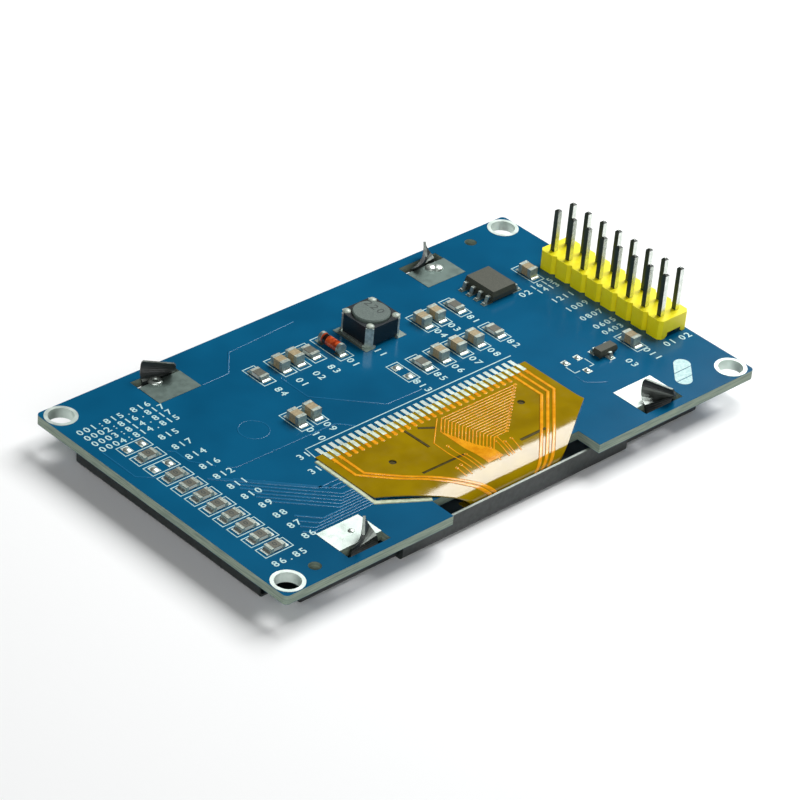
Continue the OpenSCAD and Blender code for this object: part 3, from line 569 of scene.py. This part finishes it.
# %% Covered traces
covered = Finish("solder_mask_over_copper", Roughness=0.2, IOR=1.5)
covered.link("Base Color", covered.blend(covered.span(covered.cloud(5.0), 0, 1), "#0E5C84", "#14658E"))
covered.relief(covered.cloud(0.8), 0.003)
left_row = [on_board(n) for n in resistors if on_board(n)[1].x < 8]
row_y = [(lo.y + hi.y) / 2 for lo, hi in left_row]
row_x = (left_row[0][0].x + left_row[0][1].x) / 2
row_step = (row_y[1] - row_y[-1]) / 7
to_film = 21.0  # where the tracks that run towards the film end
bundle = []
for i in range(3):
    level, total = 12.75 - 0.7 * i, 28.6 + 0.25 * i
    far = 7.3 + 1.1 * i
    bundle.append([(far, total - far), (total - level, level), (to_film, level)])
for i in range(9):
    level = 10.35 - 0.42 * i
    bend, run = (17.4 - 0.5 * i, 8.6 - 0.7 * i) if i < 5 else (12.6 - 0.9 * (i - 5), 2.2 - 0.5 * (i - 5))
    bundle.append([(bend - run, level + run), (bend, level), (to_film, level)])
singles = [[(10.5, 21.7), (11.2, 21.05), (25.8, 20.9), (27.4, 19.2)],
           [(7.2, 28.0), (7.8, 27.3), (7.8, 25.0), (9.6, 22.6)],
           [(26.9, 31.5), (26.9, 26.7), (33.2, 20.3), (38.5, 20.2)],
           [(18.8, 35.65), (22.7, 35.7), (25.6, 39.0), (36.0, 39.5)],
           [(1.2, 32.0), (1.2, 26.2), (3.0, 24.7)],
           [(54.8, 11.5), (54.8, 10.0), (57.0, 8.5)]]
bm = bmesh.new()
lines(bm, bundle, 0.42, 0.03)
lines(bm, singles, 0.3, 0.025)
lines(bm, [ring_path(17.6, 25.4, 1.8, 36)], 0.2, 0.02, closed=True)
to_board(bm)
piece("covered_traces", bm, covered)

# %% [markdown]
# ## White print
# The print names no maker and no part: only plain numbers, the outlines round the chips, the line
# round the film's contacts and the solid field by the header. It is screen printed epoxy ink, matt
# and slightly uneven at this size.

# %% Ink finish
ink = Finish("white_screen_ink", Roughness=0.55, IOR=1.5)
ink.link("Base Color", ink.blend(ink.span(ink.cloud(0.25), 0, 1), "#A3CACB", "#C4E0DD"))
ink.relief(ink.cloud(0.12), 0.004)

# %% Printed outlines
chip_frame, ink_t = (3.9, 1.75), 0.03
outlines = []
for lo, hi in [on_board(n) for n in resistors + capacitors]:
    middle, size = (lo + hi) / 2, hi - lo
    outlines.append(frame_path(middle.x, middle.y, *(chip_frame if size.x > size.y else chip_frame[::-1])))
outlines += [frame_path(row_x, row_y[0] + step, *chip_frame) for step in (row_step, -row_step)]
outlines.append(frame_path(39.1, 24.0, *chip_frame[::-1]))
diode_middle = sum(on_board("diode_glass"), Vector()) / 2
outlines.append(frame_path(diode_middle.x, diode_middle.y, 2.0, 5.4))
film_lo, film_hi = on_board("flex_film")
round_contacts = [(film_lo.x + 0.1, film_hi.y + 0.1), (film_lo.x + 0.3, film_hi.y + 2.0),
                  (film_hi.x - 0.3, film_hi.y + 2.0)]
empty_place = [[(55.2, 13.5), (55.2, 12.0), (56.0, 12.0)], [(57.6, 12.0), (58.3, 12.0), (58.3, 13.5)]]
bm = bmesh.new()
lines(bm, outlines, 0.2, ink_t, closed=True)
lines(bm, [round_contacts] + empty_place, 0.18, ink_t)
to_board(bm)
piece("printed_outlines", bm, ink)

# %% Printed numbers
beside_chips = [
    ("84", 25.1, 29.3), ("01", 28.3, 29.3), ("02", 30.8, 29.2), ("83", 33.1, 29.2), ("01", 35.8, 28.9),
    ("11", 39.8, 28.6), ("010", 22.6, 20.62), ("09", 24.9, 20.8), ("813", 39.0, 20.62), ("85", 42.0, 20.8),
    ("06", 44.8, 20.8), ("07", 47.6, 20.8), ("08", 50.6, 20.8), ("82", 53.8, 20.8), ("04", 48.3, 27.4),
    ("03", 50.5, 27.4), ("81", 53.6, 27.4), ("03", 62.2, 9.6), ("011", 65.6, 9.5)]
upright = [("86.85", 4.9, 5.0), ("31", 18.7, 18.2), ("31", 17.9, 15.4), ("02", 62.6, 27.7), ("01", 69.0, 9.9),
           ("02", 71.5, 9.8)]
upright += [(text, 9.35, row_y[0] + row_step * (1 - i) - 0.4)
            for i, text in enumerate("815 817 814 816 812 811 810 89 88 87 86".split())]
bm = bmesh.new()
for text, x, y in beside_chips:
    number(bm, text, x, y, turn=-90)
for text, x, y in upright:
    number(bm, text, x, y)
for i, text in enumerate(["001:815.816", "0002:816.817", "0003:814.817", "0004:814.815"]):
    number(bm, text, 1.0 + 0.49 * len(text), 36.3 - 1.32 * i, 0.88)
for i, y in enumerate((28.1, 27.0, 24.5, 22.1, 19.7, 17.5)):
    number(bm, "%02d%02d" % (16 - 2 * i, 15 - 2 * i), 65.75, y, 0.85)
number(bm, "0403", 65.6, 16.0, 0.8)
to_board(bm, 0.012)
piece("printed_numbers", bm, ink)

# %% [markdown]
# The solid white field by the header is a rounded bar. It starts as one circle whose halves are pulled
# apart, then it is turned and cut at two thin gaps, and lifted to the thickness of the ink.

# %% Solid printed field
bar_l, bar_w, bar_turn, gap = 5.3, 2.07, math.radians(47), 0.1
bm = bmesh.new()
bmesh.ops.create_circle(bm, cap_ends=True, segments=48, radius=bar_w / 2)
for vertex in bm.verts:
    if abs(vertex.co.x) > 1e-5:
        vertex.co.x += math.copysign((bar_l - bar_w) / 2, vertex.co.x)
bmesh.ops.rotate(bm, verts=bm.verts, cent=(0, 0, 0), matrix=Matrix.Rotation(bar_turn, 3, "Z"))
bmesh.ops.translate(bm, verts=bm.verts, vec=(65.7, 4.7, 0))
for gap_y in (5.0, 3.6):
    for edge_y in (gap_y - gap / 2, gap_y + gap / 2):
        everything = bm.verts[:] + bm.edges[:] + bm.faces[:]
        bmesh.ops.bisect_plane(bm, geom=everything, plane_co=(0, edge_y, 0), plane_no=(0, 1, 0))
    unprinted = [f for f in bm.faces if abs(f.calc_center_median().y - gap_y) < gap / 2]
    bmesh.ops.delete(bm, geom=unprinted, context="FACES")
raised = bmesh.ops.extrude_face_region(bm, geom=bm.faces[:])["geom"]
bmesh.ops.translate(bm, vec=(0, 0, ink_t), verts=[v for v in raised if isinstance(v, bmesh.types.BMVert)])
bmesh.ops.recalc_face_normals(bm, faces=bm.faces)
to_board(bm)
piece("printed_field", bm, ink)

# %% [markdown]
# ## Copper in the film
# Drawn flat as the film was etched, then bent with it: flat on the board, over a slack arch, then round
# a tight bend. A distance along the film becomes an angle on each arc. Moving the finished ribbons'
# vertices is surer than a curve modifier, because the same rule gave the CAD film its shape.

# %% Film geometry
contact_lo, contact_hi = on_board("film_contacts")
half_t = 0.06  # half of the film's thickness
arch_r, arch_rise, arch_dip = 11.0, math.radians(9), math.radians(16)  # the slack arch: up, over and down
flat_z = contact_lo.z - half_t
end_z = on_board("display_glass")[1].z + half_t
arch_z = flat_z + arch_r * (1 - 2 * math.cos(arch_rise))
bend_r = (arch_z + arch_r * math.cos(arch_dip) - end_z) / (1 + math.cos(arch_dip))
bend_y, bend_z = film_lo.y + half_t + bend_r, end_z + bend_r
arch_y = bend_y + (arch_r - bend_r) * math.sin(arch_dip)
lift_y = arch_y + 2 * arch_r * math.sin(arch_rise)
rise_l, arch_l = arch_r * arch_rise, arch_r * (2 * arch_rise + arch_dip)


def along_film(u, lift):
    """Distance from the board's front edge and height of a point u along the flat film, lift above it."""
    s, out = lift_y - u, half_t + lift
    if s <= 0:
        return u, flat_z + out
    if s <= rise_l:
        angle = s / arch_r
        return lift_y - (arch_r - out) * math.sin(angle), flat_z + arch_r - (arch_r - out) * math.cos(angle)
    if s <= arch_l:
        angle = s / arch_r - 2 * arch_rise
        return arch_y - (arch_r + out) * math.sin(angle), arch_z + (arch_r + out) * math.cos(angle)
    angle = arch_dip + (s - arch_l) / bend_r
    return bend_y - (bend_r + out) * math.sin(angle), bend_z + (bend_r + out) * math.cos(angle)


def dense(path, step=0.3):
    """The same path with a point at least every step millimetres."""
    out = [path[0]]
    for a, b in zip(path, path[1:]):
        n = max(1, math.ceil(math.dist(a, b) / step))
        out += [(a[0] + (b[0] - a[0]) * i / n, a[1] + (b[1] - a[1]) * i / n) for i in range(1, n + 1)]
    return out


def film_lines(bm, paths, width, height=0.02, closed=False):
    """Draws paths on the flat film and bends them with it, a hair above its face."""
    for vertex in lines(bm, [dense(p) for p in paths], width, height, closed):
        vertex.co.y, vertex.co.z = along_film(vertex.co.y, vertex.co.z + 0.004)


print("film lifts at y %.2f, arches at %.2f and bends at %.2f mm" % (lift_y, arch_y, bend_y))

# %% Film traces
contact_w = 0.55
pitch = (contact_hi.x - contact_lo.x - contact_w) / 30
contact_x = [contact_lo.x + contact_w / 2 + k * pitch for k in range(31)]
start, fore = contact_lo.y + 0.02, 0.9  # where the copper leaves the contacts, and where the drawing ends
wide = [[(contact_x[k], start), (contact_x[k], 11.9 - 0.25 * k), (contact_x[k] + 11.0 - 0.25 * k, fore)]
        for k in (0, 1)]
wide += [[(x, start), (x, 11.0), (x - 10.1, fore)] for x in contact_x[28:]]
fan = []
for i in range(16):
    level, bend, slope = 14.3 - 0.42 * i, 36.0 + 0.147 * i, 1.9
    fan.append([(47.7 - 0.5 * i, level), (bend, level), (bend - slope, level - slope), (bend - slope, 4.6)])
vias = [(30.4, 5.9), (31.2, 6.1), (33.2, 7.4), (38.4, 7.8), (37.7, 7.3), (38.4, 6.5), (39.4, 6.5),
        (36.2, 6.6), (32.8, 9.9)]
thin = [[(35.6, 14.6), (31.9, 11.2), (31.8, 5.0)]]
thin += [[(x, y - 0.2), (x - (0.05 if x < 35 else 0.27) * (y - 4.2), 4.2)] for x, y in vias]
bm = bmesh.new()
film_lines(bm, wide, 0.46)
film_lines(bm, fan, 0.2)
film_lines(bm, thin, 0.18)
film_lines(bm, [ring_path(x, y, 0.17, 12) for x, y in vias + [path[0] for path in fan]], 0.15, closed=True)
to_board(bm)
piece("film_traces", bm, gilt)

# %% Gold ends of the contacts
gold_y, gold_w = start - 0.62, 0.56
bm = bmesh.new()
lines(bm, [[(x, gold_y), (x, start + 0.05)] for x in contact_x], gold_w, 0.03)
dots(bm, [(x, gold_y) for x in contact_x], gold_w / 2, 0.016)
bmesh.ops.translate(bm, vec=(0, 0, contact_lo.z), verts=bm.verts)
to_board(bm)
piece("contact_ends", bm, gilt)

# %% [markdown]
# Some copper lies on the film's other side and shows through as short dark lines. It is drawn on top here, in
# a dark finish, because the film is opaque. Under each of the film's two holes a flat dark bump on the board,
# in the same finish, is painted shade.

# %% Traces on the film's underside, and painted shade in its holes
bm = bmesh.new()
film_lines(bm, [[(30.9, 15.0), (31.0, 11.0)], [(26.8, 7.6), (33.0, 7.5)], [(32.5, 14.5), (34.3, 13.3)],
                [(40.0, 5.6), (44.0, 5.6)]], 0.4, 0.012)
# Painted shade: a flat dark bump under each of the film's two holes.
dots(bm, ((25.7, 11.3), (45.7, 11.3)), 0.43, 0.02, 0.004)
to_board(bm)
piece("film_underside_traces_and_hole_shade", bm, under)

# %% [markdown]
# ## Solder at the tabs
# Each bezel tab is soldered to its pad after it was twisted. Three of the joints are round lumps, so
# they start as spheres that are pressed flat and cut off at the bottom. At the fourth the solder has
# drawn back into a ring round a hole. A torus would do for that, but a closed line has the same
# pressed round section, and the helper is there.

# %% Tab solder
pad_top = 0.04
bm = bmesh.new()
dots(bm, [(57.9, 38.1), (57.3, 38.6)], 0.75, 0.4, pad_top)
dots(bm, [(13.4, 4.6), (59.7, 4.5)], 0.4, 0.2, pad_top)
lines(bm, [ring_path(14.9, 39.3, 0.6, 16)], 0.6, 0.3, closed=True)
to_board(bm)
piece("tab_solder", bm, solder)

# %% [markdown]
# ## Tape under the film
# A strip of double sided tape holds the film to the board, and its pale edge looks out along the
# film's left side. Only that edge shows, so it is one wide flat line instead of a whole sheet.

# %% Film tape
tape = Finish("pale_double_sided_tape", Roughness=0.6, IOR=1.5)
tape.link("Base Color", tape.blend(tape.span(tape.cloud(0.6), 0, 1), "#A9B596", "#C9D2B4"))
tape.relief(tape.cloud(0.4), 0.004)
bm = bmesh.new()
lines(bm, [[(19.25, 16.6), (19.1, 6.95), (24.6, 3.75)]], 0.9, 0.05)
to_board(bm)
piece("film_tape", bm, tape)

# %% [markdown]
# ## Glue and stamped marks
# The inductor's drum is held in its shield by four drops of glue, and plain numbers are stamped on the
# drum and on the row of chips at the left. Thin raised digits are surer than a painted pattern, because
# they keep their sharp edges at any size.

# %% Glue and ink finishes
glue = Finish("pale_epoxy_glue", Roughness=0.35, IOR=1.5)
glue.link("Base Color", glue.blend(glue.span(glue.cloud(0.3), 0, 1), "#8F9C93", "#B9C2B4"))
glue.relief(glue.cloud(0.25), 0.01)
stamp = Finish("dark_stamping_ink", Roughness=0.6, IOR=1.5)
stamp.link("Base Color", stamp.blend(stamp.span(stamp.cloud(0.1), 0, 1), "#27312F", "#35403D"))
stamp.relief(stamp.cloud(0.08), 0.003)

# %% Drops of glue
shield_lo, shield_hi = on_board("inductor_shield")
coil = (shield_lo + shield_hi) / 2
reach = (shield_hi.x - shield_lo.x) / 2 - 0.62
corners = [(coil.x + i * reach, coil.y + j * reach) for i in (-1, 1) for j in (-1, 1)]
bm = bmesh.new()
dots(bm, corners, 0.5, 0.26, shield_hi.z)
to_board(bm)
piece("inductor_glue", bm, glue)

# %% Stamped numbers
bm = bmesh.new()
number(bm, "220", coil.x + 0.75, coil.y + 0.35, 0.95, turn=-90, thick=0.01)
to_board(bm, on_board("inductor_drum")[1].z)
piece("inductor_number", bm, stamp)
bm = bmesh.new()
for lo, hi in left_row:
    number(bm, "0", (lo.x + hi.x) / 2, (lo.y + hi.y) / 2, 0.6, thick=0.008)
to_board(bm, left_row[0][1].z)
piece("chip_marks", bm, stamp)
